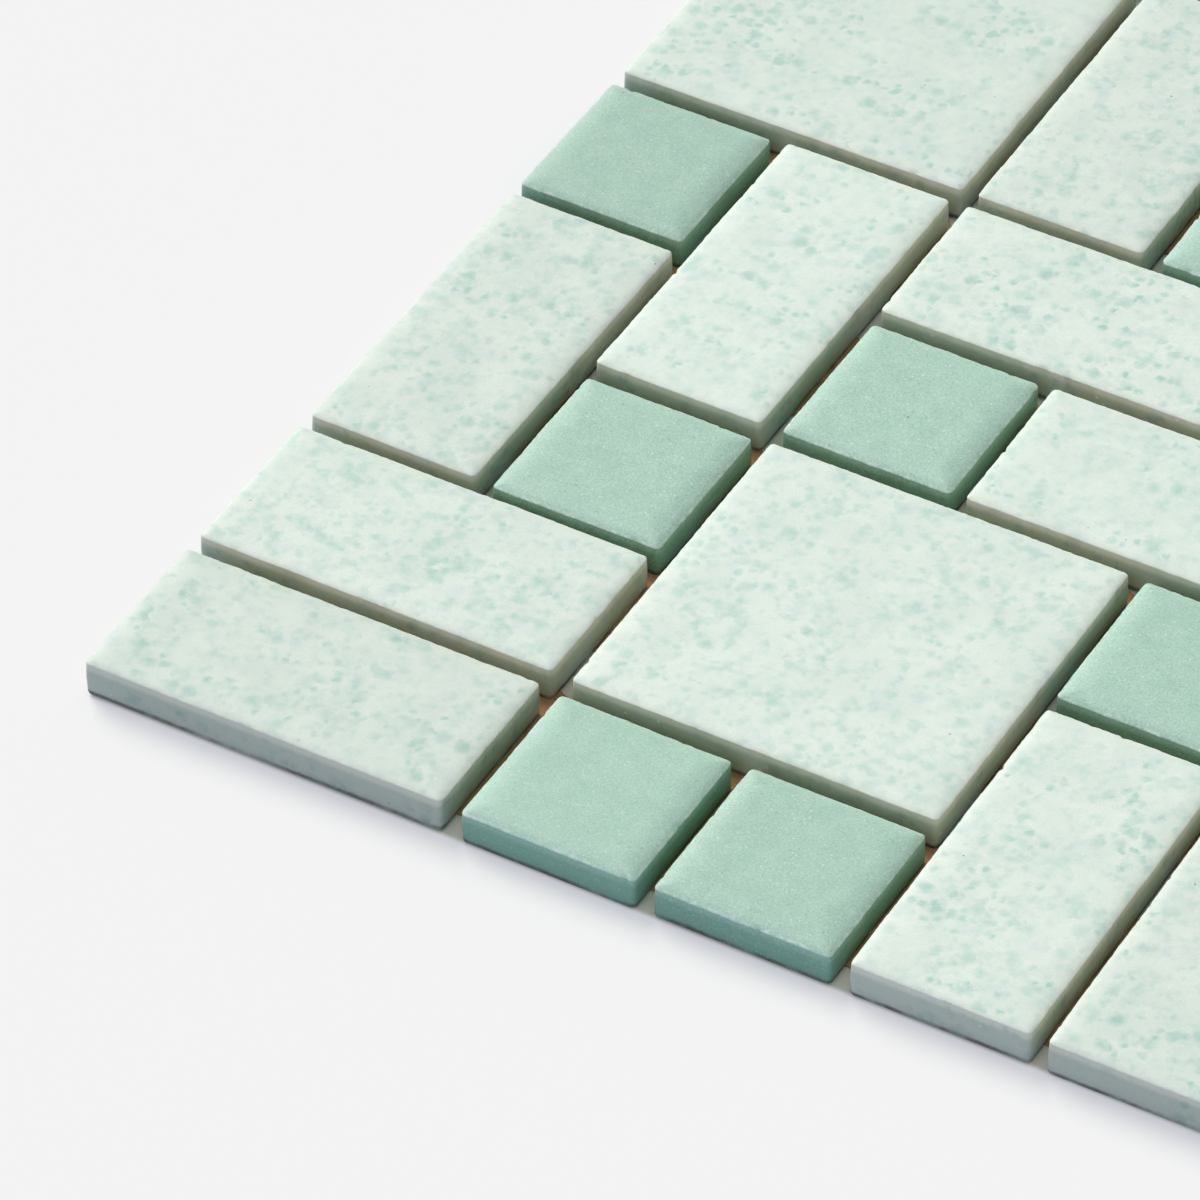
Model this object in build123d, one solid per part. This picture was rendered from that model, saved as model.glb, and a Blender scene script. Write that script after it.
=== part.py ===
from build123d import *
import os
import random

# Mosaic floor tile sheet: small pressed tiles of three sizes, laid in a random block plan and
# glued to one perforated kraft paper. Millimetres, +Z up, origin under the middle of the sheet.

# Driving dimensions
module = 25.0            # laying pitch of the smallest tile
joint = 2.0              # open joint between neighbouring tiles
tile_thickness = 5.0     # pressed tile, back to wear face
edge_bevel = 0.2         # outermost part of a wear edge, as deep as it is wide
shoulder_run = 1.2       # steeper outer part of the cushion, measured in from the bevel
shoulder_fall = 0.42     # and measured down
crown_run = 1.6          # gentler inner part of the cushion, measured in from the shoulder
crown_fall = 0.2         # and measured down
corner_radius = 0.6      # upright corners of a tile
corner_steps = 2         # straight steps that draw each rounded corner
back_chamfer = 0.4       # arris taken off the edges of the back
lay_shift = 0.2          # how far a tile may lie off its place, each way
lay_turn = 0.3           # how far a tile may lie turned, in degrees
lay_seed = 14            # picks one way that the tiles happen to lie
paper_thickness = 0.4    # kraft paper with its glue
paper_setback = 4.0      # from the sheet's edge to the edge of the paper
hole_diameter = 10.0     # mortar holes in the paper
hole_sides = 10          # straight sides that draw each hole
hole_pitch = 24.0        # the same both ways
hole_count = 11          # holes along each side of the hole field
hole_shift_x = -2.25     # middle of the hole field from the middle of the sheet
hole_shift_y = 2.4

# Laying plan, seen from above with the front row last. Each tile is marked at its front left cell:
# o is a green square, < a pale oblong along X, v a pale oblong along Y and [ a large pale square.
# The marks > ^ ] ( ) only fill the other cells that such a tile covers.
laying_plan = (
    "<>o<>()^o()^",
    "o()^o[]v^[]v",
    "^[]v<>^ovo<>",
    "vo<>o^v()<>^",
    "<>o()vo[]^ov",
    "()^[]o<>ov()",
    "[]vo<>o<>^[]",
    "o^<>o^()ov<>",
    "^vo<>v[]^<>o",
    "vo()o<>^v^o^",
    "<>[]^()vov^v",
    "<>oov[]o<>vo",
)

# What each mark stands for: its node, and how many modules it covers along X and along Y.
tile_kinds = {
    "o": ("green_square_tiles", 1, 1),
    "<": ("pale_oblong_tiles_along_x", 2, 1),
    "v": ("pale_oblong_tiles_along_y", 1, 2),
    "[": ("pale_large_square_tiles", 2, 2),
}

# Sizes that follow
columns = len(laying_plan[0])
rows = len(laying_plan)
sheet_width = columns * module - joint
sheet_depth = rows * module - joint


def tile_outline(width, depth):
    """A rectangle about the origin, with its corner rounding drawn in straight steps."""
    reach_x = width / 2 - corner_radius
    reach_y = depth / 2 - corner_radius
    corners = ((reach_x, reach_y), (-reach_x, reach_y), (-reach_x, -reach_y), (reach_x, -reach_y))
    points = []
    for quarter, centre in enumerate(corners):
        for step in range(corner_steps + 1):
            turn = 90 * (quarter + step / corner_steps)
            points.append(Vector(*centre) + Vector(corner_radius, 0).rotate(Axis.Z, turn))
    return make_face(Polyline(*points, close=True))


def cushion_profile():
    """The wear edge as points from the wall to the flat: how far in, and how high above the back."""
    crown = tile_thickness - crown_fall
    shoulder = crown - shoulder_fall
    return (
        (0, shoulder - edge_bevel),
        (edge_bevel, shoulder),
        (edge_bevel + shoulder_run, crown),
        (edge_bevel + shoulder_run + crown_run, tile_thickness),
    )


def mould(width, depth, start, end):
    """A blunt pyramid over the whole tile, whose four faces pass through two points of the profile."""
    (inset, height), (next_inset, next_height) = start, end
    lean = (next_inset - inset) / (next_height - height)
    foot = inset - lean * height
    head = foot + lean * tile_thickness
    return loft([
        Rectangle(width - 2 * foot, depth - 2 * foot),
        Pos(0, 0, tile_thickness) * Rectangle(width - 2 * head, depth - 2 * head),
    ])


def pressed_tile(cells_x, cells_y):
    """A tile standing on its back at Z = 0, with the cushion edge pressed round its wear face."""
    width = cells_x * module - joint
    depth = cells_y * module - joint
    tile = extrude(tile_outline(width, depth), tile_thickness)
    profile = cushion_profile()
    for start, end in zip(profile, profile[1:]):
        tile &= mould(width, depth, start, end)
    return chamfer(tile.faces().sort_by(Axis.Z)[0].edges(), back_chamfer)


def laid_tiles():
    """Every tile of the laying plan in its place on the paper, listed by node."""
    chance = random.Random(lay_seed)
    pressed = {mark: pressed_tile(*cells) for mark, (_, *cells) in tile_kinds.items()}
    nodes = {node: [] for node, *_ in tile_kinds.values()}
    for row, line in enumerate(reversed(laying_plan)):
        for column, mark in enumerate(line):
            if mark not in tile_kinds:
                continue
            node, cells_x, cells_y = tile_kinds[mark]
            x = (column + cells_x / 2 - columns / 2) * module + chance.uniform(-lay_shift, lay_shift)
            y = (row + cells_y / 2 - rows / 2) * module + chance.uniform(-lay_shift, lay_shift)
            turn = chance.uniform(-lay_turn, lay_turn)
            nodes[node].append(Pos(x, y, paper_thickness) * Rot(0, 0, turn) * pressed[mark])
    return nodes


def perforated_paper():
    """The backing under the tiles, with its field of mortar holes."""
    sheet = Rectangle(sheet_width - 2 * paper_setback, sheet_depth - 2 * paper_setback)
    hole = Pos(hole_shift_x, hole_shift_y) * RegularPolygon(hole_diameter / 2, hole_sides)
    field = GridLocations(hole_pitch, hole_pitch, hole_count, hole_count)
    return extrude(Face(sheet.wire(), [(place * hole).wire() for place in field]), paper_thickness)


def main():
    """Builds the sheet, centres it on the origin and writes one file for each node."""
    nodes = laid_tiles()
    nodes["backing_paper"] = [perforated_paper()]
    middle = Compound([solid for solids in nodes.values() for solid in solids]).bounding_box().center()
    os.makedirs("parts", exist_ok=True)
    for node, solids in nodes.items():
        centred = [Pos(-middle.X, -middle.Y) * solid for solid in solids]
        export_step(Compound(centred), f"parts/{node}.step")


main()
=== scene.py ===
"""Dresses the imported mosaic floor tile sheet: pressed tiles with worn edges, kraft backing, studio."""
import cmath
import logging
import math
import random
from collections.abc import Callable
from dataclasses import dataclass
from enum import Enum

import bmesh
import bpy
from mathutils import Matrix, Vector


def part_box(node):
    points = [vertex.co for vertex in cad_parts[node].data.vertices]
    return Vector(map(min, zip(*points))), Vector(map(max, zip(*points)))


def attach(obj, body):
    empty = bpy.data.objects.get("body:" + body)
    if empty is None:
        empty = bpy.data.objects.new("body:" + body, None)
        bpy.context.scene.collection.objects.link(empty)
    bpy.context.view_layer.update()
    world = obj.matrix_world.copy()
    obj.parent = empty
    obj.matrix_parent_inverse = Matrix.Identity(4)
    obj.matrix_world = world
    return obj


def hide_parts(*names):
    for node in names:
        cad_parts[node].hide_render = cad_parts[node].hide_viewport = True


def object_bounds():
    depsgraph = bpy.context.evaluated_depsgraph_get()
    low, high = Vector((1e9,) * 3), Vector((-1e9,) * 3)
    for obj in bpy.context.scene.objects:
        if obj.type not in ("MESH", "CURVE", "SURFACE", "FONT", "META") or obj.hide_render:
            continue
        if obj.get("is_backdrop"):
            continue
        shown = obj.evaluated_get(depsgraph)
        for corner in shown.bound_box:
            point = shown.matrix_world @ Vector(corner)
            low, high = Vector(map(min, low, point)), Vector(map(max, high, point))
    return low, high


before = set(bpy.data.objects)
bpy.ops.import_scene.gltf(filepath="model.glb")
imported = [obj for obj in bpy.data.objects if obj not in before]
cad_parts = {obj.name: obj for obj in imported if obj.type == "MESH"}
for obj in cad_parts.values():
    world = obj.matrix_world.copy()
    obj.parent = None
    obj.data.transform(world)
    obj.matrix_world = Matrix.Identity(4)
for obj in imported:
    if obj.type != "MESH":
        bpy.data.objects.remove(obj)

log = logging.getLogger("tile_sheet")

MM = 0.001
BODY = "root"

# How far apart the patterns of two tiles may start, in millimetres
PATTERN_REACH = 300.0

# Pick the tones and flecks of each kind's tiles
GREEN_SEED = 631
PALE_SEEDS = {
    "pale_oblong_tiles_along_x": 10948,
    "pale_oblong_tiles_along_y": 2674,
    "pale_large_square_tiles": 969,
}

# Share of the full cushion on the pale tiles, which are pressed flatter
PALE_CUSHION = 0.4

# Upright part of the normal of a face that lies level, and of one that stands
LEVEL = 0.9
STANDING = 0.05

# Refractive index of fired clay and of paper, and how strongly a bump shows its relief
DULL_IOR = 1.5
BUMP_STRENGTH = 0.5

# Colour sockets of Blender's Mix node by place, because their names repeat
MIX_FACTOR = 0
MIX_A = 6
MIX_B = 7
MIX_RESULT = 2

Tree = bpy.types.NodeTree
Socket = bpy.types.NodeSocket
Paint = str | Socket
Coats = list[tuple[Socket, Paint]]
Range = tuple[float, float]


class SlotName(Enum):
    """The record's material slots."""

    GREEN_TILE = "green_tile"
    PALE_TILE = "pale_tile"
    KRAFT_PAPER = "kraft_paper"


class Pick(Enum):
    """What an edit-mode operator works on, as Blender's select mode."""

    VERTICES = (True, False, False)
    EDGES = (False, True, False)
    FACES = (False, False, True)


class EdgeGroup(Enum):
    """Vertex groups that say where a tile's edges wear."""

    ALL_SIDES = "all_sides"
    WEAR_EDGE = "wear_edge"
    BACK_EDGE = "back_edge"


class TileData(Enum):
    """Attributes that carry a tile's own frame, in millimetres, and its chances to its finish."""

    PLACE = "tile_place"
    HALF = "tile_half"
    CHANCE = "tile_chance"


def linear(colour: str) -> tuple[float, float, float, float]:
    """Turns an sRGB hex colour into a linear colour.

    Args:
        colour: six hex digits after a hash sign.

    Returns:
        Red, green, blue and alpha, linear.
    """
    channels = [int(colour[i:i + 2], 16) / 255 for i in (1, 3, 5)]
    red, green, blue = (c / 12.92 if c <= 0.04045 else ((c + 0.055) / 1.055) ** 2.4 for c in channels)
    return red, green, blue, 1.0


def add_node(tree: Tree, kind: str, inputs: dict | None = None, **settings: object) -> bpy.types.Node:
    """Adds one node with its settings and links.

    Args:
        tree: the node tree it goes into.
        kind: the node's type name.
        inputs: socket name or number, to a value or to the output socket that feeds it.
        settings: the node's own properties.

    Returns:
        The new node.
    """
    node = tree.nodes.new(kind)
    for name, value in settings.items():
        setattr(node, name, value)
    for key, value in (inputs or {}).items():
        if isinstance(value, Socket):
            tree.links.new(value, node.inputs[key])
        else:
            node.inputs[key].default_value = value
    return node


def new_material(name: str) -> tuple[bpy.types.Material, Tree]:
    """Makes an empty node material.

    Args:
        name: what the real material is called.

    Returns:
        The material and its node tree.
    """
    material = bpy.data.materials.new(name)
    material.use_nodes = True
    material.node_tree.nodes.clear()
    return material, material.node_tree


def lay_coats(tree: Tree, ground: Paint, coats: Coats) -> Socket:
    """Lays coats of colour over a ground, one after another.

    Args:
        tree: the material's node tree.
        ground: the lowest colour, a hex value or a socket.
        coats: each coat's mask and its colour.

    Returns:
        The finished colour.
    """
    for mask, coat in coats:
        under, over = (linear(paint) if isinstance(paint, str) else paint for paint in (ground, coat))
        ground = add_node(tree, "ShaderNodeMix", {
            MIX_FACTOR: mask, MIX_A: under, MIX_B: over,
        }, data_type="RGBA").outputs[MIX_RESULT]
    return ground


def start_shape(kind: Callable, name: str, **sizes: object) -> bpy.types.Object:
    """Adds a primitive with nothing else selected and leaves it in edit mode.

    Args:
        kind: the primitive's operator.
        name: the new object's name.
        sizes: the operator's own values.

    Returns:
        The new object.
    """
    bpy.ops.object.select_all(action="DESELECT")
    kind(**sizes)
    shape = bpy.context.active_object
    shape.name = name
    shape.data.name = name
    bpy.ops.object.mode_set(mode="EDIT")
    return shape


def select(shape: bpy.types.Object, pick: Pick, wanted: Callable) -> None:
    """Selects by place or normal in edit mode.

    Args:
        shape: the object in edit mode.
        pick: which kind of element to select.
        wanted: says of one such element if it is selected.
    """
    bpy.context.tool_settings.mesh_select_mode = pick.value
    bpy.ops.mesh.select_all(action="DESELECT")
    cage = bmesh.from_edit_mesh(shape.data)
    elements = {Pick.VERTICES: cage.verts, Pick.EDGES: cage.edges, Pick.FACES: cage.faces}[pick]
    for element in elements:
        if wanted(element):
            element.select_set(True)
    cage.select_flush_mode()
    bmesh.update_edit_mesh(shape.data)


def only(shape: bpy.types.Object) -> None:
    """Makes one object the active and only selected one, in object mode."""
    bpy.ops.object.select_all(action="DESELECT")
    shape.select_set(True)
    bpy.context.view_layer.objects.active = shape


def apply_modifiers(shape: bpy.types.Object) -> None:
    """Applies every modifier of an object in order."""
    only(shape)
    for modifier in list(shape.modifiers):
        bpy.ops.object.modifier_apply(modifier=modifier.name)


def discard(shape: bpy.types.Object) -> None:
    """Takes an object and its mesh out of the file."""
    mesh = shape.data
    bpy.data.objects.remove(shape)
    bpy.data.meshes.remove(mesh)


@dataclass(frozen=True)
class Spots:
    """Small round grains in a body, in millimetres. Share says how many places hold one."""

    spacing: float
    radius: float
    share: float
    softness: float = 0.4

    def mask(self, tree: Tree, place: Socket, amount: float | Socket = 1.0) -> Socket:
        """Draws the grains.

        Args:
            tree: the material's node tree.
            place: coordinates in millimetres.
            amount: what the strongest grains reach.

        Returns:
            Up to the amount in a grain, 0 outside.
        """
        cells = add_node(tree, "ShaderNodeTexVoronoi", {"Vector": place, "Scale": 1 / self.spacing})
        chance = add_node(tree, "ShaderNodeSeparateColor", {"Color": cells.outputs["Color"]})
        strength = add_node(tree, "ShaderNodeMapRange", {
            "Value": chance.outputs["Red"], "From Min": 1 - self.share, "From Max": 1.0, "To Max": amount,
        })
        reach = self.radius / self.spacing
        return add_node(tree, "ShaderNodeMapRange", {
            "Value": cells.outputs["Distance"], "To Max": strength.outputs[0],
            "From Min": reach * (1 + self.softness), "From Max": reach * (1 - self.softness),
        }, interpolation_type="SMOOTHSTEP").outputs[0]


@dataclass(frozen=True)
class Mottle:
    """Blurred patches of one size in millimetres, faint at low, full at high, ragged where detailed."""

    size: float
    low: float
    high: float
    detail: float = 1.0

    def mask(self, tree: Tree, place: Socket, amount: float | Socket = 1.0) -> Socket:
        """Draws the patches.

        Args:
            tree: the material's node tree.
            place: coordinates in millimetres.
            amount: what the fullest patches reach.

        Returns:
            Up to the amount in a patch, 0 outside.
        """
        noise = add_node(tree, "ShaderNodeTexNoise", {
            "Vector": place, "Scale": 1 / self.size, "Detail": self.detail, "Roughness": 0.6,
        })
        return add_node(tree, "ShaderNodeMapRange", {
            "Value": noise.outputs["Fac"], "From Min": self.low, "From Max": self.high, "To Max": amount,
        }, interpolation_type="SMOOTHSTEP").outputs[0]


@dataclass(frozen=True)
class TileFrame:
    """Where on its own tile a point is, as sockets in millimetres, with the tile's own chances."""

    place: Socket
    edge: Socket
    below: Socket
    height: Socket
    tone: Socket
    vivid: Socket

    @classmethod
    def read(cls, tree: Tree) -> "TileFrame":
        """Reads the tile's own frame from its attributes.

        Args:
            tree: the material's node tree.

        Returns:
            The sockets: a place far from every other tile's, how far in from the edge and below the rim.
        """
        local, half, chance = (
            add_node(tree, "ShaderNodeAttribute", attribute_name=data.value).outputs["Vector"]
            for data in TileData)
        chances = add_node(tree, "ShaderNodeSeparateXYZ", {0: chance})
        spread = add_node(tree, "ShaderNodeTexWhiteNoise", {
            "W": chances.outputs["Z"],
        }, noise_dimensions="1D").outputs["Color"]
        place = add_node(tree, "ShaderNodeVectorMath", {
            0: spread, 1: (PATTERN_REACH,) * 3, 2: local,
        }, operation="MULTIPLY_ADD").outputs[0]
        folded = add_node(tree, "ShaderNodeVectorMath", {0: local}, operation="ABSOLUTE").outputs[0]
        room = add_node(tree, "ShaderNodeVectorMath", {
            0: half, 1: folded,
        }, operation="SUBTRACT").outputs[0]
        sides = add_node(tree, "ShaderNodeSeparateXYZ", {0: room})
        edge = add_node(tree, "ShaderNodeMath", {
            0: sides.outputs["X"], 1: sides.outputs["Y"],
        }, operation="MINIMUM").outputs[0]
        height = add_node(tree, "ShaderNodeSeparateXYZ", {0: local}).outputs["Z"]
        return cls(place, edge, sides.outputs["Z"], height, chances.outputs["X"], chances.outputs["Y"])


class Porcelain:
    """What both unglazed porcelains share: rubbed rims, bare sides, sandy grain, a tone for each tile.

    The sand is drawn a little coarser than the real grit, so that it shows.
    """

    name: str
    rim: str
    rim_haze: float
    rim_rub: float
    band: str
    side: str
    low_side: str
    rub: str
    # Painted shadow: a dark line at the foot of the sides, where the tile stands on the floor
    foot_shadow: str = "#332F30"
    pit: str = "#5F5A4C"
    grain_size: float
    grain_depth: float
    tone_spread: float
    relief: float
    roughness: Range
    rubs: Mottle = Mottle(size=1.0, low=0.42, high=0.62, detail=4.0)
    pits: Spots = Spots(spacing=4.4, radius=0.15, share=0.3, softness=0.3)
    # Breaks the painted foot shadow into ragged patches
    foot_shadow_breakup: Mottle = Mottle(size=5.0, low=0.25, high=0.6, detail=3.0)
    # Where a coat starts and is full, in millimetres: in from the edge, below the rim or above the back
    haze_reach: Range = (2.2, 0.2)
    rub_reach: Range = (0.6, 0.2)
    side_reach: Range = (-0.1, 0.15)
    band_reach: Range = (1.3, 0.35)
    low_reach: Range = (3.0, 0.6)
    foot_shadow_reach: Range = (0.75, 0.3)
    # What a coat reaches at most
    band_amount: float = 0.9
    foot_shadow_amount: float = 0.85
    pit_amount: float = 0.8
    # The stretch of the sand's noise that goes from dark to light, and from smooth to rough
    sand_tones: Range = (0.25, 0.75)
    sand_touch: Range = (0.3, 0.7)

    def wear_face(self, tree: Tree, at: TileFrame) -> Socket:
        """Colours the wear face."""
        raise NotImplementedError

    def bare_side(self, tree: Tree, at: TileFrame) -> Socket:
        """Colours the sides: a pale band under the rim, partly painted light, then clay in a second tone
        lower down, and a painted shadow at the foot.

        Args:
            tree: the material's node tree.
            at: the tile's own frame.

        Returns:
            The colour.
        """
        # The lower tone: on the pale tiles a little lighter, painted light that offsets the shade near
        # the floor
        lower = add_node(tree, "ShaderNodeMapRange", {
            "Value": at.height, "From Min": self.low_reach[0], "From Max": self.low_reach[1],
        }, interpolation_type="SMOOTHSTEP").outputs[0]
        # The band is partly cream clay under the rim and partly painted light, lightening the upper sides
        # where more light falls
        upper = add_node(tree, "ShaderNodeMapRange", {
            "Value": at.below, "From Min": self.band_reach[0], "From Max": self.band_reach[1],
            "To Max": self.band_amount,
        }, interpolation_type="SMOOTHSTEP").outputs[0]
        # Painted shadow along the foot of the sides, ragged where the mottle breaks it up
        foot_shadow = add_node(tree, "ShaderNodeMapRange", {
            "Value": at.height, "From Min": self.foot_shadow_reach[0], "From Max": self.foot_shadow_reach[1],
            "To Max": self.foot_shadow_breakup.mask(tree, at.place, self.foot_shadow_amount),
        }, interpolation_type="SMOOTHSTEP").outputs[0]
        return lay_coats(tree, self.side, [
            (lower, self.low_side), (upper, self.band), (foot_shadow, self.foot_shadow),
        ])

    def rim_coats(self, tree: Tree, at: TileFrame) -> Coats:
        """Lightens the rim: a haze that fades inwards, and ragged rubs along the very edge.

        Args:
            tree: the material's node tree.
            at: the tile's own frame.

        Returns:
            The coats.
        """
        haze = add_node(tree, "ShaderNodeMapRange", {
            "Value": at.edge, "From Min": self.haze_reach[0], "From Max": self.haze_reach[1],
            "To Max": self.rim_haze,
        }, interpolation_type="SMOOTHSTEP").outputs[0]
        rub = add_node(tree, "ShaderNodeMapRange", {
            "Value": at.edge, "From Min": self.rub_reach[0], "From Max": self.rub_reach[1],
            "To Max": self.rubs.mask(tree, at.place, self.rim_rub),
        }, interpolation_type="SMOOTHSTEP").outputs[0]
        return [(haze, self.rim), (rub, self.rub)]

    def make(self) -> bpy.types.Material:
        """Builds the material.

        Returns:
            The finished material.
        """
        material, tree = new_material(self.name)
        at = TileFrame.read(tree)
        side = add_node(tree, "ShaderNodeMapRange", {
            "Value": at.below, "From Min": self.side_reach[0], "From Max": self.side_reach[1],
        }, interpolation_type="SMOOTHSTEP").outputs[0]
        pits = self.pits.mask(tree, at.place, self.pit_amount)
        colour = lay_coats(tree, self.wear_face(tree, at), [
            *self.rim_coats(tree, at), (side, self.bare_side(tree, at)), (pits, self.pit),
        ])
        sand = add_node(tree, "ShaderNodeTexNoise", {
            "Vector": at.place, "Scale": 1 / self.grain_size, "Detail": 2.0, "Roughness": 0.7,
        }).outputs["Fac"]
        lightness = add_node(tree, "ShaderNodeMapRange", {
            "Value": sand, "From Min": self.sand_tones[0], "From Max": self.sand_tones[1],
            "To Min": 1 - self.grain_depth, "To Max": 1 + self.grain_depth,
        }).outputs[0]
        fired = add_node(tree, "ShaderNodeMapRange", {
            "Value": at.tone, "To Min": 1 - self.tone_spread, "To Max": 1.0,
        }).outputs[0]
        value = add_node(tree, "ShaderNodeMath", {
            0: lightness, 1: fired,
        }, operation="MULTIPLY").outputs[0]
        colour = add_node(tree, "ShaderNodeHueSaturation", {"Color": colour, "Value": value}).outputs[0]
        rough = add_node(tree, "ShaderNodeMapRange", {
            "Value": sand, "From Min": self.sand_touch[0], "From Max": self.sand_touch[1],
            "To Min": self.roughness[0], "To Max": self.roughness[1],
        }).outputs[0]
        height = add_node(tree, "ShaderNodeMath", {0: sand, 1: pits}, operation="SUBTRACT").outputs[0]
        bump = add_node(tree, "ShaderNodeBump", {
            "Height": height, "Strength": BUMP_STRENGTH, "Distance": self.relief * MM,
        }).outputs[0]
        shader = add_node(tree, "ShaderNodeBsdfPrincipled", {
            "Base Color": colour, "Roughness": rough, "Normal": bump, "IOR": DULL_IOR,
        })
        add_node(tree, "ShaderNodeOutputMaterial", {"Surface": shader.outputs[0]})
        return material


@dataclass(frozen=True)
class PalePorcelain(Porcelain):
    """Unglazed pressed porcelain, pale green with sea-green flecks.

    Dry-pressed and fired without a glaze: a matt, faintly silky skin with blurred coloured grains in it,
    creamy where the edges are rubbed, and bare clay with white grog on the sides.
    """

    name: str = "unglazed speckled pale porcelain"
    ground: str = "#E0EBE1"
    shade: str = "#D8E5DB"
    fleck: str = "#A4CDC0"
    smudge: str = "#C8DADC"
    rim: str = "#E4E8DA"
    rub: str = "#EFEEE2"
    rim_haze: float = 0.2
    rim_rub: float = 0.6
    # Partly cream clay, partly painted light on the upper sides
    band: str = "#E2E3CC"
    side: str = "#BFCAB5"
    # A little lighter than the side: painted light that offsets the shade near the floor
    low_side: str = "#C1CBB8"
    side_fleck: str = "#8FAA9E"
    grog: str = "#F1F0E8"
    grain_size: float = 0.26
    grain_depth: float = 0.06
    tone_spread: float = 0.12
    relief: float = 0.05
    roughness: Range = (0.46, 0.6)
    clouds: Mottle = Mottle(size=7.0, low=0.35, high=0.7, detail=2.0)
    smudges: Mottle = Mottle(size=3.2, low=0.55, high=0.76, detail=2.0)
    clusters: Mottle = Mottle(size=8.0, low=0.3, high=0.6, detail=1.5)
    halos: Mottle = Mottle(size=2.2, low=0.48, high=0.76, detail=2.0)
    flecks: tuple[Spots, ...] = (
        Spots(spacing=2.3, radius=0.8, share=0.7, softness=0.9),
        Spots(spacing=1.3, radius=0.46, share=0.7, softness=0.9),
    )
    raggedness: float = 1.1
    ragged_size: float = 1.0
    grog_grains: Spots = Spots(spacing=1.1, radius=0.2, share=0.5)
    grog_patches: Mottle = Mottle(size=5.0, low=0.52, high=0.66, detail=2.0)
    crumbs: Spots = Spots(spacing=0.9, radius=0.2, share=0.5)
    smudge_amount: float = 0.5
    crumb_amount: float = 0.9
    # Strength from the dullest tile to the most vivid one
    fleck_strength: Range = (0.5, 1.6)
    halo_strength: Range = (0.8, 0.2)
    # Where flecks and crumbs start and are full, in millimetres in from the edge or below the rim
    fleck_reach: Range = (0.1, 0.9)
    crumb_reach: Range = (0.7, 0.2)
    side_fleck_reach: Range = (0.2, 1.2)
    side_fleck_strength: Range = (0.2, 0.8)

    def fleck_coats(self, tree: Tree, at: TileFrame, amount: Socket, colour: str) -> Coats:
        """Draws coarse and fine flecks, both in clusters.

        Args:
            tree: the material's node tree.
            at: the tile's own frame.
            amount: what the strongest flecks reach.
            colour: what colour they are.

        Returns:
            The coats.
        """
        cluster = self.clusters.mask(tree, at.place, amount)
        noise = add_node(tree, "ShaderNodeTexNoise", {
            "Vector": at.place, "Scale": 1 / self.ragged_size, "Detail": 1.0,
        })
        ragged = add_node(tree, "ShaderNodeVectorMath", {
            0: noise.outputs["Color"], 1: (self.raggedness,) * 3, 2: at.place,
        }, operation="MULTIPLY_ADD").outputs[0]
        return [(kind.mask(tree, ragged, cluster), colour) for kind in self.flecks]

    def wear_face(self, tree: Tree, at: TileFrame) -> Socket:
        """Colours the wear face: clouded ground, smudges, and flecks that blur where they aren't vivid.

        Args:
            tree: the material's node tree.
            at: the tile's own frame.

        Returns:
            The colour.
        """
        strength = add_node(tree, "ShaderNodeMapRange", {
            "Value": at.vivid, "To Min": self.fleck_strength[0], "To Max": self.fleck_strength[1],
        }).outputs[0]
        blur = add_node(tree, "ShaderNodeMapRange", {
            "Value": at.vivid, "To Min": self.halo_strength[0], "To Max": self.halo_strength[1],
        }).outputs[0]
        inside = add_node(tree, "ShaderNodeMapRange", {
            "Value": at.edge, "From Min": self.fleck_reach[0], "From Max": self.fleck_reach[1],
            "To Max": strength,
        }, interpolation_type="SMOOTHSTEP").outputs[0]
        return lay_coats(tree, self.ground, [
            (self.clouds.mask(tree, at.place), self.shade),
            (self.smudges.mask(tree, at.place, self.smudge_amount), self.smudge),
            (self.halos.mask(tree, at.place, blur), self.fleck),
            *self.fleck_coats(tree, at, inside, self.fleck),
        ])

    def bare_side(self, tree: Tree, at: TileFrame) -> Socket:
        """Colours the sides: clay with the same flecks, and white grog here and there.

        Args:
            tree: the material's node tree.
            at: the tile's own frame.

        Returns:
            The colour.
        """
        below = add_node(tree, "ShaderNodeMapRange", {
            "Value": at.below,
            "From Min": self.side_fleck_reach[0], "From Max": self.side_fleck_reach[1],
            "To Min": self.side_fleck_strength[0], "To Max": self.side_fleck_strength[1],
        }).outputs[0]
        rim = add_node(tree, "ShaderNodeMapRange", {
            "Value": at.below, "From Min": self.crumb_reach[0], "From Max": self.crumb_reach[1],
            "To Max": self.crumb_amount,
        }, interpolation_type="SMOOTHSTEP").outputs[0]
        grog = self.grog_grains.mask(tree, at.place, self.grog_patches.mask(tree, at.place))
        return lay_coats(tree, super().bare_side(tree, at), [
            *self.fleck_coats(tree, at, below, self.side_fleck), (grog, self.grog),
            (self.crumbs.mask(tree, at.place, rim), self.grog),
        ])


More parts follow.
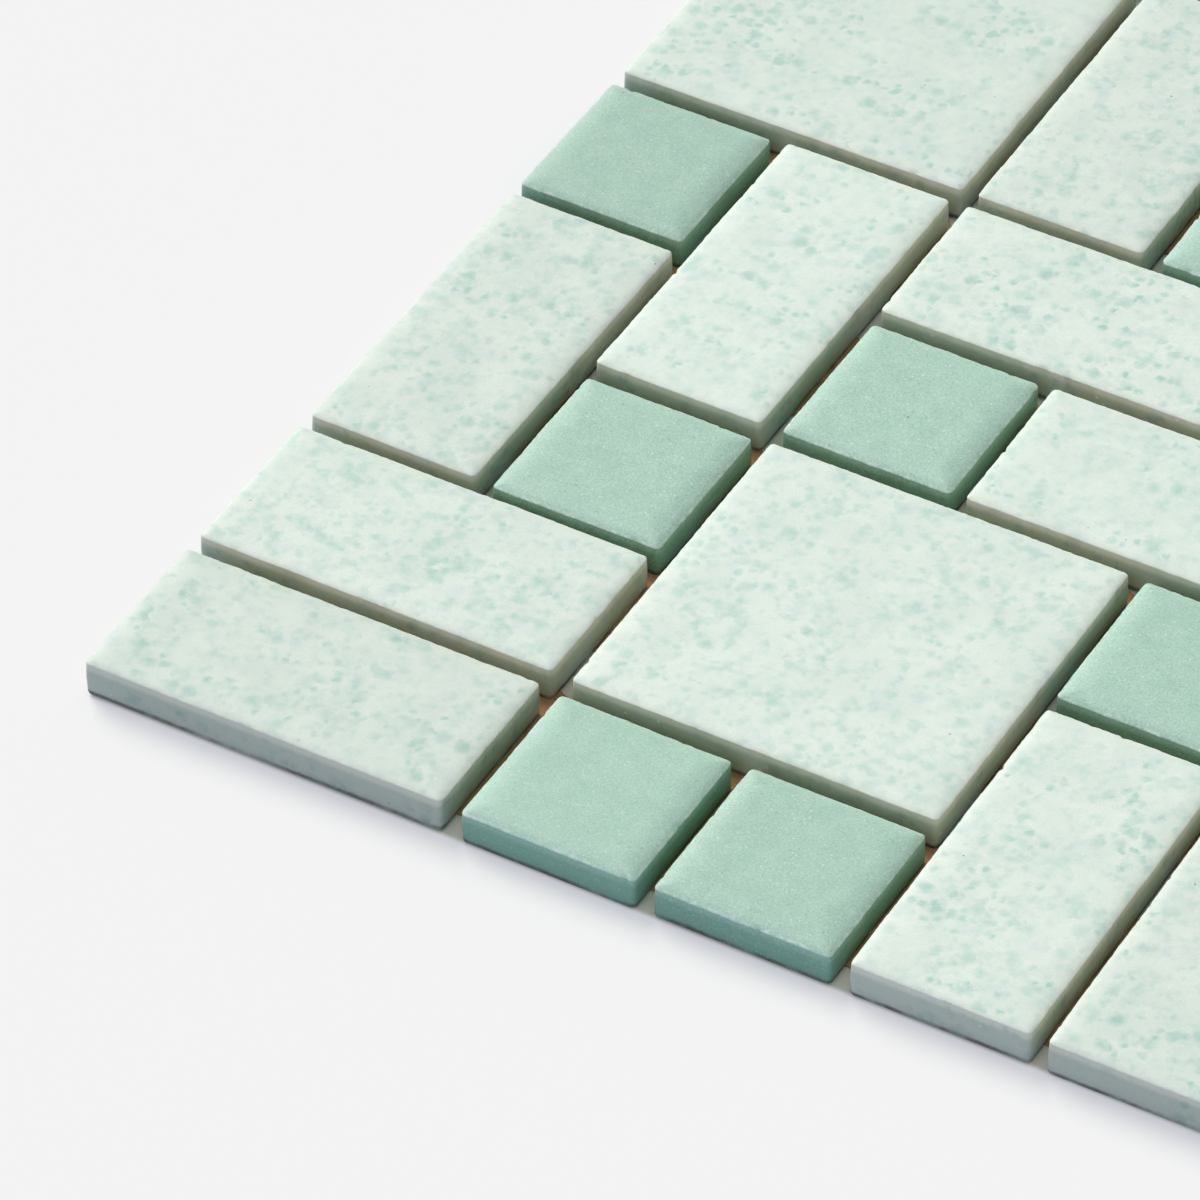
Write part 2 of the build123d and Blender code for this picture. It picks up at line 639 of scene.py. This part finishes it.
@dataclass(frozen=True)
class SagePorcelain(Porcelain):
    """Unglazed pressed porcelain, coloured sage green right through.

    The same dry-pressed body without flecks: a sandy, matt skin, paler where its edges are rubbed, with
    pale and dark grains that are drawn just large enough to see.
    """

    name: str = "unglazed sage porcelain"
    ground: str = "#ACCEBD"
    shade: str = "#A0C4B3"
    rim: str = "#C6E5D4"
    rub: str = "#DAEFE4"
    rim_haze: float = 0.3
    rim_rub: float = 0.7
    # Partly cream clay, partly painted light on the upper sides
    band: str = "#97C0A8"
    side: str = "#7DAB92"
    low_side: str = "#79A68F"
    pale_grain: str = "#D8EBDF"
    dark_grain: str = "#7A9E8F"
    grain_size: float = 0.26
    grain_depth: float = 0.22
    tone_spread: float = 0.11
    relief: float = 0.09
    roughness: Range = (0.48, 0.64)
    clouds: Mottle = Mottle(size=3.0, low=0.25, high=0.75, detail=5.0)
    pale_grains: Spots = Spots(spacing=0.5, radius=0.13, share=0.5, softness=0.7)
    dark_grains: Spots = Spots(spacing=0.6, radius=0.13, share=0.5, softness=0.7)
    face_grains: float = 0.6
    side_grains: float = 0.3

    def grain_coats(self, tree: Tree, at: TileFrame, amount: float) -> Coats:
        """Sprinkles pale and dark grains.

        Args:
            tree: the material's node tree.
            at: the tile's own frame.
            amount: what the strongest grains reach.

        Returns:
            The coats.
        """
        return [
            (self.pale_grains.mask(tree, at.place, amount), self.pale_grain),
            (self.dark_grains.mask(tree, at.place, amount), self.dark_grain),
        ]

    def wear_face(self, tree: Tree, at: TileFrame) -> Socket:
        """Colours the wear face.

        Args:
            tree: the material's node tree.
            at: the tile's own frame.

        Returns:
            The colour.
        """
        return lay_coats(tree, self.ground, [
            (self.clouds.mask(tree, at.place), self.shade),
            *self.grain_coats(tree, at, self.face_grains),
        ])

    def bare_side(self, tree: Tree, at: TileFrame) -> Socket:
        """Colours the sides with the same grains, fainter.

        Args:
            tree: the material's node tree.
            at: the tile's own frame.

        Returns:
            The colour.
        """
        grains = self.grain_coats(tree, at, self.side_grains)
        return lay_coats(tree, super().bare_side(tree, at), grains)


@dataclass(frozen=True)
class KraftPaper:
    """Brown kraft paper, unbleached and machine made: dull, with long fibres and darker bits in it.

    The fibres are drawn much wider than real ones, so that they show.
    """

    name: str = "brown kraft paper"
    sheet: str = "#C09064"
    fibre: str = "#A0724A"
    bit: str = "#7E5530"
    fibre_width: float = 0.25
    fibre_length: float = 3.0
    fibre_range: Range = (0.4, 0.72)
    fibre_relief: float = 0.05
    bits: Spots = Spots(spacing=2.0, radius=0.25, share=0.4)
    roughness: float = 0.85

    def make(self) -> bpy.types.Material:
        """Builds the material.

        Returns:
            The finished material.
        """
        material, tree = new_material(self.name)
        metres = add_node(tree, "ShaderNodeTexCoord").outputs["Object"]
        place = add_node(tree, "ShaderNodeVectorMath", {
            0: metres, "Scale": 1 / MM,
        }, operation="SCALE").outputs[0]
        stretched = add_node(tree, "ShaderNodeMapping", {
            "Vector": place,
            "Scale": (1 / self.fibre_length, 1 / self.fibre_width, 1 / self.fibre_width),
        }).outputs[0]
        fibres = add_node(tree, "ShaderNodeTexNoise", {
            "Vector": stretched, "Scale": 1.0, "Detail": 3.0, "Roughness": 0.6,
        }).outputs["Fac"]
        dark = add_node(tree, "ShaderNodeMapRange", {
            "Value": fibres, "From Min": self.fibre_range[0], "From Max": self.fibre_range[1],
        }).outputs[0]
        colour = lay_coats(tree, self.sheet, [
            (dark, self.fibre), (self.bits.mask(tree, place), self.bit),
        ])
        bump = add_node(tree, "ShaderNodeBump", {
            "Height": fibres, "Strength": BUMP_STRENGTH, "Distance": self.fibre_relief * MM,
        }).outputs[0]
        shader = add_node(tree, "ShaderNodeBsdfPrincipled", {
            "Base Color": colour, "Roughness": self.roughness, "Normal": bump, "IOR": DULL_IOR,
        })
        add_node(tree, "ShaderNodeOutputMaterial", {"Surface": shader.outputs[0]})
        return material


@dataclass(frozen=True)
class Lay:
    """Where one tile lies on the sheet and how large it is, in metres and radians."""

    x: float
    y: float
    turn: float
    width: float
    depth: float


@dataclass(frozen=True)
class Wear:
    """One kind of loss along the tiles' edges, in millimetres."""

    name: str
    group: EdgeGroup
    grain: float
    loss: float
    threshold: Range | None = None


@dataclass
class TileCourse:
    """All tiles of one kind: pressed once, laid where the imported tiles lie, worn along their edges."""

    node: str
    slot: SlotName
    material: bpy.types.Material
    seed: int
    cushion: float = 1.0
    corner_radius: float = 0.9 * MM
    corner_steps: int = 5
    edge_step: float = 0.5 * MM
    back_arris: float = 0.2 * MM
    wall_rings: int = 2
    half_module: float = 12.5 * MM
    merge_gap: float = 0.001 * MM
    # Rounding of a wear edge: how far each ring goes in and up from the one before
    edge_rings: tuple[Range, ...] = (
        (0.03 * MM, 0.09 * MM), (0.07 * MM, 0.075 * MM), (0.12 * MM, 0.055 * MM),
    )
    # Full cushion of the wear face inside that, measured the same way
    cushion_rings: tuple[Range, ...] = (
        (0.35 * MM, 0.126 * MM), (0.35 * MM, 0.112 * MM), (0.4 * MM, 0.112 * MM),
        (0.45 * MM, 0.103 * MM), (0.5 * MM, 0.083 * MM), (0.6 * MM, 0.06 * MM),
        (0.7 * MM, 0.028 * MM), (0.5 * MM, 0.0),
    )
    # Rounding of the back edge: shares of the arris that each ring goes in and down
    back_rings: tuple[Range, ...] = ((0.4, 0.7), (0.6, 0.3))
    wears: tuple[Wear, ...] = (
        Wear("wander", EdgeGroup.ALL_SIDES, grain=6.0, loss=0.2),
        Wear("crumble", EdgeGroup.WEAR_EDGE, grain=0.7, loss=0.17),
        Wear("chips", EdgeGroup.WEAR_EDGE, grain=1.4, loss=0.22, threshold=(0.2, 0.28)),
        Wear("back_crumble", EdgeGroup.BACK_EDGE, grain=1.1, loss=0.22),
    )
    # Reach of the wear in millimetres: in from the edge, down from the wear face, up from the back
    wear_reach: float = 0.8
    wear_drop: float = 2.0
    back_reach: float = 0.9
    # Points no higher than this above the back stay on it, in millimetres
    back_film: float = 0.01
    smooth_angle: float = math.radians(50)

    def build(self) -> bpy.types.Object:
        """Builds, wears and dresses the course.

        Returns:
            The finished piece.
        """
        lays = self.read_lays()
        low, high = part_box(self.node)
        blank = self.press(lays[0].width, lays[0].depth, low[2], high[2])
        course = self.lay_out(blank, lays)
        self.wear(course)
        course.data.materials.append(self.material)
        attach(course, BODY)
        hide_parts(self.node)
        log.info("%s: %d tiles, %d faces", course.name, len(lays), len(course.data.polygons))
        return course

    def read_lays(self) -> list[Lay]:
        """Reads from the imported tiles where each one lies.

        Returns:
            One lay for each tile, ordered from the front left.
        """
        copy = bpy.data.objects.new(f"{self.node}_copy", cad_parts[self.node].data.copy())
        bpy.context.scene.collection.objects.link(copy)
        only(copy)
        bpy.ops.object.mode_set(mode="EDIT")
        bpy.ops.mesh.select_all(action="SELECT")
        bpy.ops.mesh.remove_doubles(threshold=self.merge_gap)
        bpy.ops.mesh.separate(type="LOOSE")
        bpy.ops.object.mode_set(mode="OBJECT")
        tiles = list(bpy.context.selected_objects)
        lays = [self.measure(tile.data) for tile in tiles]
        for tile in tiles:
            discard(tile)
        return sorted(lays, key=lambda lay: (round(lay.y / self.half_module), lay.x))

    @staticmethod
    def measure(tile: bpy.types.Mesh) -> Lay:
        """Finds a tile's turn from its upright walls, and then its size and middle.

        Args:
            tile: the merged mesh of one packed tile.

        Returns:
            The tile's lay.
        """
        four_fold = sum(face.area * cmath.exp(4j * math.atan2(face.normal.y, face.normal.x))
                        for face in tile.polygons if abs(face.normal.z) < STANDING)
        turn = cmath.phase(four_fold) / 4
        level = Matrix.Rotation(-turn, 3, "Z")
        points = [level @ vertex.co for vertex in tile.vertices]
        low = Vector((min(p.x for p in points), min(p.y for p in points), 0))
        high = Vector((max(p.x for p in points), max(p.y for p in points), 0))
        middle = level.inverted() @ ((low + high) / 2)
        return Lay(middle.x, middle.y, turn, high.x - low.x, high.y - low.y)

    def press(self, width: float, depth: float, base: float, top: float) -> bpy.types.Object:
        """Presses one tile about the origin.

        Args:
            width: its size along X.
            depth: its size along Y.
            base: height of its back.
            top: height of its wear face.

        Returns:
            The blank, with its own frame and its edge groups on its vertices.
        """
        cushion_rings = [(inward, up * self.cushion) for inward, up in self.cushion_rings]
        rise = sum(up for _, up in [*self.edge_rings, *cushion_rings])
        blank = start_shape(bpy.ops.mesh.primitive_plane_add, f"{self.node}_blank", size=1.0,
                            location=(0, 0, base + self.back_arris))
        bpy.ops.transform.resize(value=(width, depth, 1))
        bpy.ops.mesh.bevel(offset=self.corner_radius, segments=self.corner_steps, affect="VERTICES")
        bpy.ops.mesh.delete(type="ONLY_FACE")
        for axis, length in enumerate((width, depth)):
            straight = length - 2 * self.corner_radius
            select(blank, Pick.EDGES, lambda edge: abs(
                edge.verts[0].co[axis] - edge.verts[1].co[axis]) > straight / 2)
            bpy.ops.mesh.subdivide(number_cuts=round(straight / self.edge_step) - 1)
        bpy.ops.mesh.select_all(action="SELECT")
        bpy.ops.mesh.edge_face_add()
        select(blank, Pick.FACES, lambda face: True)
        wall = (top - base - self.back_arris - rise) / self.wall_rings
        for _ in range(self.wall_rings):
            bpy.ops.mesh.extrude_region_move(TRANSFORM_OT_translate={"value": (0, 0, wall)})
        bpy.ops.mesh.select_all(action="SELECT")
        bpy.ops.mesh.normals_make_consistent(inside=False)
        select(blank, Pick.FACES, lambda face: face.normal.z > LEVEL)
        for inward, up in self.edge_rings:
            bpy.ops.mesh.inset(thickness=inward, depth=up)
        inside = sum(inward for inward, _ in self.edge_rings)
        for inward, up in cushion_rings:
            bpy.ops.mesh.extrude_region_move(TRANSFORM_OT_translate={"value": (0, 0, up)})
            shrink = [1 - inward / (size / 2 - inside) for size in (width, depth)]
            bpy.ops.transform.resize(value=(*shrink, 1))
            inside += inward
        select(blank, Pick.FACES, lambda face: face.normal.z < -LEVEL)
        for inward, down in self.back_rings:
            bpy.ops.mesh.inset(thickness=self.back_arris * inward, depth=self.back_arris * down)
        bpy.ops.object.mode_set(mode="OBJECT")
        bpy.ops.object.transform_apply(location=True, rotation=False, scale=False)
        self.mark(blank, width, depth, base, top, rise)
        return blank

    def mark(self, blank: bpy.types.Object, width: float, depth: float, base: float, top: float,
             rise: float) -> None:
        """Writes the tile's own frame and its edge groups on the blank.

        Args:
            blank: the pressed tile.
            width: its size along X.
            depth: its size along Y.
            base: height of its back.
            top: height of its wear face.
            rise: how far the wear face lies above the rim.
        """
        groups = [blank.vertex_groups.new(name=group.value) for group in EdgeGroup]
        for vertex in blank.data.vertices:
            inset = min(width / 2 - abs(vertex.co.x), depth / 2 - abs(vertex.co.y)) / MM
            drop = (top - vertex.co.z) / MM
            height = (vertex.co.z - base) / MM
            near = max(0.0, 1.0 - inset / self.wear_reach) if height > self.back_film else 0.0
            weights = (
                near,
                near * max(0.0, min(1.0, self.wear_drop - drop)),
                near * max(0.0, 1.0 - height / self.back_reach),
            )
            for group, weight in zip(groups, weights):
                group.add([vertex.index], weight, "REPLACE")
        places = [(v.co.x / MM, v.co.y / MM, (v.co.z - base) / MM) for v in blank.data.vertices]
        halves = [(width / 2 / MM, depth / 2 / MM, (top - base - rise) / MM)] * len(places)
        for data, values in zip(TileData, (places, halves, halves)):
            layer = blank.data.attributes.new(data.value, "FLOAT_VECTOR", "POINT")
            layer.data.foreach_set("vector", [number for value in values for number in value])

    def lay_out(self, blank: bpy.types.Object, lays: list[Lay]) -> bpy.types.Object:
        """Copies the blank to every lay and joins the copies.

        Args:
            blank: the pressed tile, which is used up.
            lays: where the tiles lie.

        Returns:
            The joined course, at the origin.
        """
        chance = random.Random(self.seed)
        copies = []
        for lay in lays:
            copy = blank.copy()
            copy.data = blank.data.copy()
            bpy.context.scene.collection.objects.link(copy)
            copy.data.transform(Matrix.Translation((lay.x, lay.y, 0)) @ Matrix.Rotation(lay.turn, 4, "Z"))
            chances = [chance.random() for _ in range(3)]
            layer = copy.data.attributes[TileData.CHANCE.value].data
            layer.foreach_set("vector", chances * len(layer))
            copies.append(copy)
        discard(blank)
        only(copies[0])
        for copy in copies:
            copy.select_set(True)
        bpy.ops.object.join()
        course = copies[0]
        course.name = f"worn_{self.node}"
        course.data.name = course.name
        return course

    def wear(self, course: bpy.types.Object) -> None:
        """Takes the losses off the edges and smooths the shading.

        Args:
            course: the joined tiles.
        """
        for wear in self.wears:
            grit = bpy.data.textures.new(f"{self.node}_{wear.name}", "CLOUDS")
            grit.noise_scale = wear.grain * MM
            grit.noise_depth = 2
            if wear.threshold:
                grit.use_color_ramp = True
                stops = grit.color_ramp.elements
                stops[0].position, stops[1].position = wear.threshold
                stops[0].color = (0, 0, 0, 1)
                stops[1].color = (1, 1, 1, 1)
            loss = course.modifiers.new(wear.name, "DISPLACE")
            loss.texture = grit
            loss.texture_coords = "GLOBAL"
            loss.vertex_group = wear.group.value
            loss.mid_level = 1.0
            loss.strength = wear.loss * MM
        apply_modifiers(course)
        bpy.ops.object.shade_smooth_by_angle(angle=self.smooth_angle)


@dataclass
class BackingPaper:
    """The perforated kraft paper that the tiles are glued to. Sizes as in the part's source."""

    material: bpy.types.Material
    node: str = "backing_paper"
    hole_diameter: float = 10.0 * MM
    hole_pitch: float = 24.0 * MM
    hole_count: int = 11
    hole_shift: tuple[float, float] = (-2.25 * MM, 2.4 * MM)
    hole_steps: int = 48
    merge_gap: float = 0.01 * MM
    smooth_angle: float = math.radians(30)

    def build(self) -> bpy.types.Object:
        """Builds and dresses the paper.

        Returns:
            The finished piece.
        """
        low, high = (Vector(corner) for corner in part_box(self.node))
        paper = self.punch((low + high) / 2, low.z)
        self.reach_edges(paper, low, high)
        wall = paper.modifiers.new("thickness", "SOLIDIFY")
        wall.thickness = high.z - low.z
        wall.offset = 1.0
        apply_modifiers(paper)
        bpy.ops.object.shade_smooth_by_angle(angle=self.smooth_angle)
        paper.data.materials.append(self.material)
        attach(paper, BODY)
        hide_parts(self.node)
        log.info("%s: %d holes, %d faces", paper.name, self.hole_count ** 2, len(paper.data.polygons))
        return paper

    def punch(self, middle: Vector, height: float) -> bpy.types.Object:
        """Makes one cell with its hole and repeats it over the field.

        Args:
            middle: the middle of the paper.
            height: height of the paper's underside.

        Returns:
            The field of holes, one flat sheet.
        """
        reach = self.hole_pitch * (self.hole_count - 1) / 2
        first = [middle[axis] + self.hole_shift[axis] - reach for axis in (0, 1)]
        place = (*first, height)
        paper = start_shape(bpy.ops.mesh.primitive_circle_add, "punched_backing_paper",
                            vertices=self.hole_steps, radius=self.hole_diameter / 2, location=place)
        bpy.ops.mesh.select_all(action="DESELECT")
        bpy.ops.mesh.primitive_plane_add(size=self.hole_pitch, location=place)
        bpy.ops.mesh.delete(type="ONLY_FACE")
        side = self.hole_pitch / 2 - self.merge_gap
        select(paper, Pick.EDGES, lambda edge: max(abs(c) for v in edge.verts for c in v.co.xy) > side)
        bpy.ops.mesh.subdivide(number_cuts=self.hole_steps // 4 - 1)
        bpy.ops.mesh.select_all(action="SELECT")
        bpy.ops.mesh.bridge_edge_loops()
        bpy.ops.mesh.select_all(action="SELECT")
        bpy.ops.mesh.normals_make_consistent(inside=False)
        bpy.ops.object.mode_set(mode="OBJECT")
        bpy.ops.object.transform_apply(location=True, rotation=False, scale=False)
        for step in ((self.hole_pitch, 0, 0), (0, self.hole_pitch, 0)):
            row = paper.modifiers.new("row", "ARRAY")
            row.count = self.hole_count
            row.use_relative_offset = False
            row.use_constant_offset = True
            row.constant_offset_displace = step
            row.use_merge_vertices = True
            row.merge_threshold = self.merge_gap
        apply_modifiers(paper)
        return paper

    def reach_edges(self, paper: bpy.types.Object, low: Vector, high: Vector) -> None:
        """Draws the four margins out to the paper's edges.

        Args:
            paper: the field of holes.
            low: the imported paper's lowest corner.
            high: its highest corner.
        """
        bpy.ops.object.mode_set(mode="EDIT")
        for axis in (0, 1):
            for end, pick in ((low, min), (high, max)):
                cage = bmesh.from_edit_mesh(paper.data)
                rim = pick(vertex.co[axis] for vertex in cage.verts)
                select(paper, Pick.EDGES, lambda edge: edge.is_boundary and all(
                    abs(vertex.co[axis] - rim) < self.merge_gap for vertex in edge.verts))
                move = [0.0, 0.0, 0.0]
                move[axis] = end[axis] - rim
                bpy.ops.mesh.extrude_edges_move(TRANSFORM_OT_translate={"value": move})
        bpy.ops.mesh.select_all(action="SELECT")
        bpy.ops.mesh.remove_doubles(threshold=self.merge_gap)
        bpy.ops.mesh.normals_make_consistent(inside=False)
        bpy.ops.object.mode_set(mode="OBJECT")


@dataclass(frozen=True)
class Lamp:
    """A soft lamp far off: its place and its width in degrees, and its light on a level face."""

    name: str
    direction: float
    height: float
    spread: float
    level: tuple[float, float, float]

    def hang(self) -> None:
        """Hangs the lamp."""
        bpy.ops.object.select_all(action="DESELECT")
        tilt = math.radians(90 - self.height)
        bpy.ops.object.light_add(type="SUN", rotation=(0, tilt, math.radians(self.direction)))
        lamp = bpy.context.active_object
        lamp.name = self.name
        strongest = max(self.level)
        lamp.data.color = [level / strongest for level in self.level]
        lamp.data.energy = strongest * math.pi / math.sin(math.radians(self.height))
        lamp.data.angle = math.radians(self.spread)


@dataclass
class Studio:
    """A plain pale floor under soft light: a key from the left, a fill from the front and an even sky."""

    floor_size: float = 12.0
    floor_drop: float = 0.02 * MM
    backdrop_colour: str = "#F3F3F3"
    floor_colour: str = "#F8F6E6"
    bounce_colour: str = "#BCCBF2"
    glow_colour: str = "#EEF0FF"
    glow: float = 0.5
    # The glow fades out over this width, just inside the sheet's edge
    glow_gap: float = 1.0 * MM
    key: Lamp = Lamp("key_light", direction=152.0, height=42.0, spread=35.0, level=(0.57, 0.57, 0.55))
    fill: Lamp = Lamp("front_fill", direction=262.0, height=24.0, spread=40.0, level=(0.05, 0.05, 0.06))
    sky_level: tuple[float, float, float] = (0.38, 0.38, 0.39)

    def build(self) -> None:
        """Lays the floor and hangs the lights."""
        self.lay_floor()
        self.key.hang()
        self.fill.hang()
        self.fill_sky()
        log.info("studio: floor, key light, front fill and sky")

    @staticmethod
    def seen(tree: Tree) -> Socket:
        """Tells rays that look at the background from rays that light the sheet.

        Args:
            tree: a material's or the world's node tree.

        Returns:
            1 for camera, glossy and transmission rays.
        """
        path = add_node(tree, "ShaderNodeLightPath")
        mirror = add_node(tree, "ShaderNodeMath", {
            0: path.outputs["Is Camera Ray"], 1: path.outputs["Is Glossy Ray"],
        }, operation="MAXIMUM").outputs[0]
        return add_node(tree, "ShaderNodeMath", {
            0: mirror, 1: path.outputs["Is Transmission Ray"],
        }, operation="MAXIMUM").outputs[0]

    def clear(self, tree: Tree) -> Socket:
        """Fades the floor's glow out towards the sheet, which lies on it and darkens it.

        Args:
            tree: the floor's node tree.

        Returns:
            The share of the glow.
        """
        low, high = (Vector(corner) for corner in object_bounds())
        place = add_node(tree, "ShaderNodeTexCoord").outputs["Object"]
        folded = add_node(tree, "ShaderNodeVectorMath", {0: place}, operation="ABSOLUTE").outputs[0]
        past = add_node(tree, "ShaderNodeVectorMath", {
            0: folded, 1: (high - low) / 2,
        }, operation="SUBTRACT").outputs[0]
        sides = add_node(tree, "ShaderNodeSeparateXYZ", {0: past})
        out = add_node(tree, "ShaderNodeMath", {
            0: sides.outputs["X"], 1: sides.outputs["Y"],
        }, operation="MAXIMUM").outputs[0]
        return add_node(tree, "ShaderNodeMapRange", {
            "Value": out, "From Min": -self.glow_gap, "From Max": 0.0, "To Max": self.glow,
        }, interpolation_type="SMOOTHSTEP").outputs[0]

    def lay_floor(self) -> None:
        """A pale floor, lit a little through from below as a light table is, so its shadow stays soft."""
        floor = start_shape(bpy.ops.mesh.primitive_plane_add, "studio_floor", size=self.floor_size,
                            location=(0, 0, -self.floor_drop))
        bpy.ops.mesh.subdivide(number_cuts=3)
        bpy.ops.object.mode_set(mode="OBJECT")
        bpy.ops.object.transform_apply(location=True, rotation=False, scale=False)
        floor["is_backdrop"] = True
        material, tree = new_material("matt studio floor")
        seen = self.seen(tree)
        colour = lay_coats(tree, self.bounce_colour, [(seen, self.floor_colour)])
        matt = add_node(tree, "ShaderNodeBsdfDiffuse", {"Color": colour})
        lit = add_node(tree, "ShaderNodeEmission", {"Color": linear(self.glow_colour)})
        share = add_node(tree, "ShaderNodeMath", {
            0: seen, 1: self.clear(tree),
        }, operation="MULTIPLY").outputs[0]
        surface = add_node(tree, "ShaderNodeMixShader", {
            0: share, 1: matt.outputs[0], 2: lit.outputs[0],
        })
        add_node(tree, "ShaderNodeOutputMaterial", {"Surface": surface.outputs[0]})
        floor.data.materials.append(material)

    def fill_sky(self) -> None:
        """An even sky, shown to the camera as the floor's own pale tone."""
        world = bpy.data.worlds.new("studio_sky")
        world.use_nodes = True
        tree = world.node_tree
        tree.nodes.clear()
        colour = add_node(tree, "ShaderNodeMix", {
            MIX_FACTOR: self.seen(tree),
            MIX_A: (*self.sky_level, 1.0),
            MIX_B: linear(self.backdrop_colour),
        }, data_type="RGBA").outputs[MIX_RESULT]
        sky = add_node(tree, "ShaderNodeBackground", {"Color": colour, "Strength": 1.0})
        add_node(tree, "ShaderNodeOutputWorld", {"Surface": sky.outputs[0]})
        bpy.context.scene.world = world


@dataclass
class PhotoCamera:
    """A long lens that looks down on the sheet's front left corner."""

    aim: tuple[float, float, float] = (-102.2 * MM, -110.64 * MM, 5.4 * MM)
    azimuth: float = 30.07
    elevation: float = 42.196
    roll: float = -0.47
    distance: float = 997.7 * MM
    lens: float = 258.2
    sensor: float = 36.0
    clip_end: float = 20.0

    def build(self) -> None:
        """Sets up the camera and makes it the scene's own."""
        turn = (Matrix.Rotation(math.radians(self.azimuth), 4, "Z")
                @ Matrix.Rotation(math.radians(90 - self.elevation), 4, "X")
                @ Matrix.Rotation(math.radians(self.roll), 4, "Z"))
        bpy.ops.object.camera_add()
        camera = bpy.context.active_object
        camera.name = "photo_camera"
        camera.data.lens = self.lens
        camera.data.sensor_width = self.sensor
        camera.data.clip_end = self.clip_end
        back_off = Matrix.Translation((0, 0, self.distance))
        camera.matrix_world = Matrix.Translation(self.aim) @ turn @ back_off
        bpy.context.scene.camera = camera
        log.info("camera: %.0f mm lens at %.2f m", self.lens, self.distance)


def main() -> None:
    """Builds the sheet and its studio in order."""
    logging.basicConfig(level=logging.INFO, format="%(name)s: %(message)s")
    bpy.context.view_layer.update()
    bpy.context.scene.view_settings.view_transform = "Standard"
    pale = PalePorcelain().make()
    sage = SagePorcelain().make()
    TileCourse("green_square_tiles", SlotName.GREEN_TILE, sage, seed=GREEN_SEED).build()
    for node, seed in PALE_SEEDS.items():
        TileCourse(node, SlotName.PALE_TILE, pale, seed=seed, cushion=PALE_CUSHION).build()
    BackingPaper(KraftPaper().make()).build()
    Studio().build()
    PhotoCamera().build()


if __name__ == "__main__":
    main()
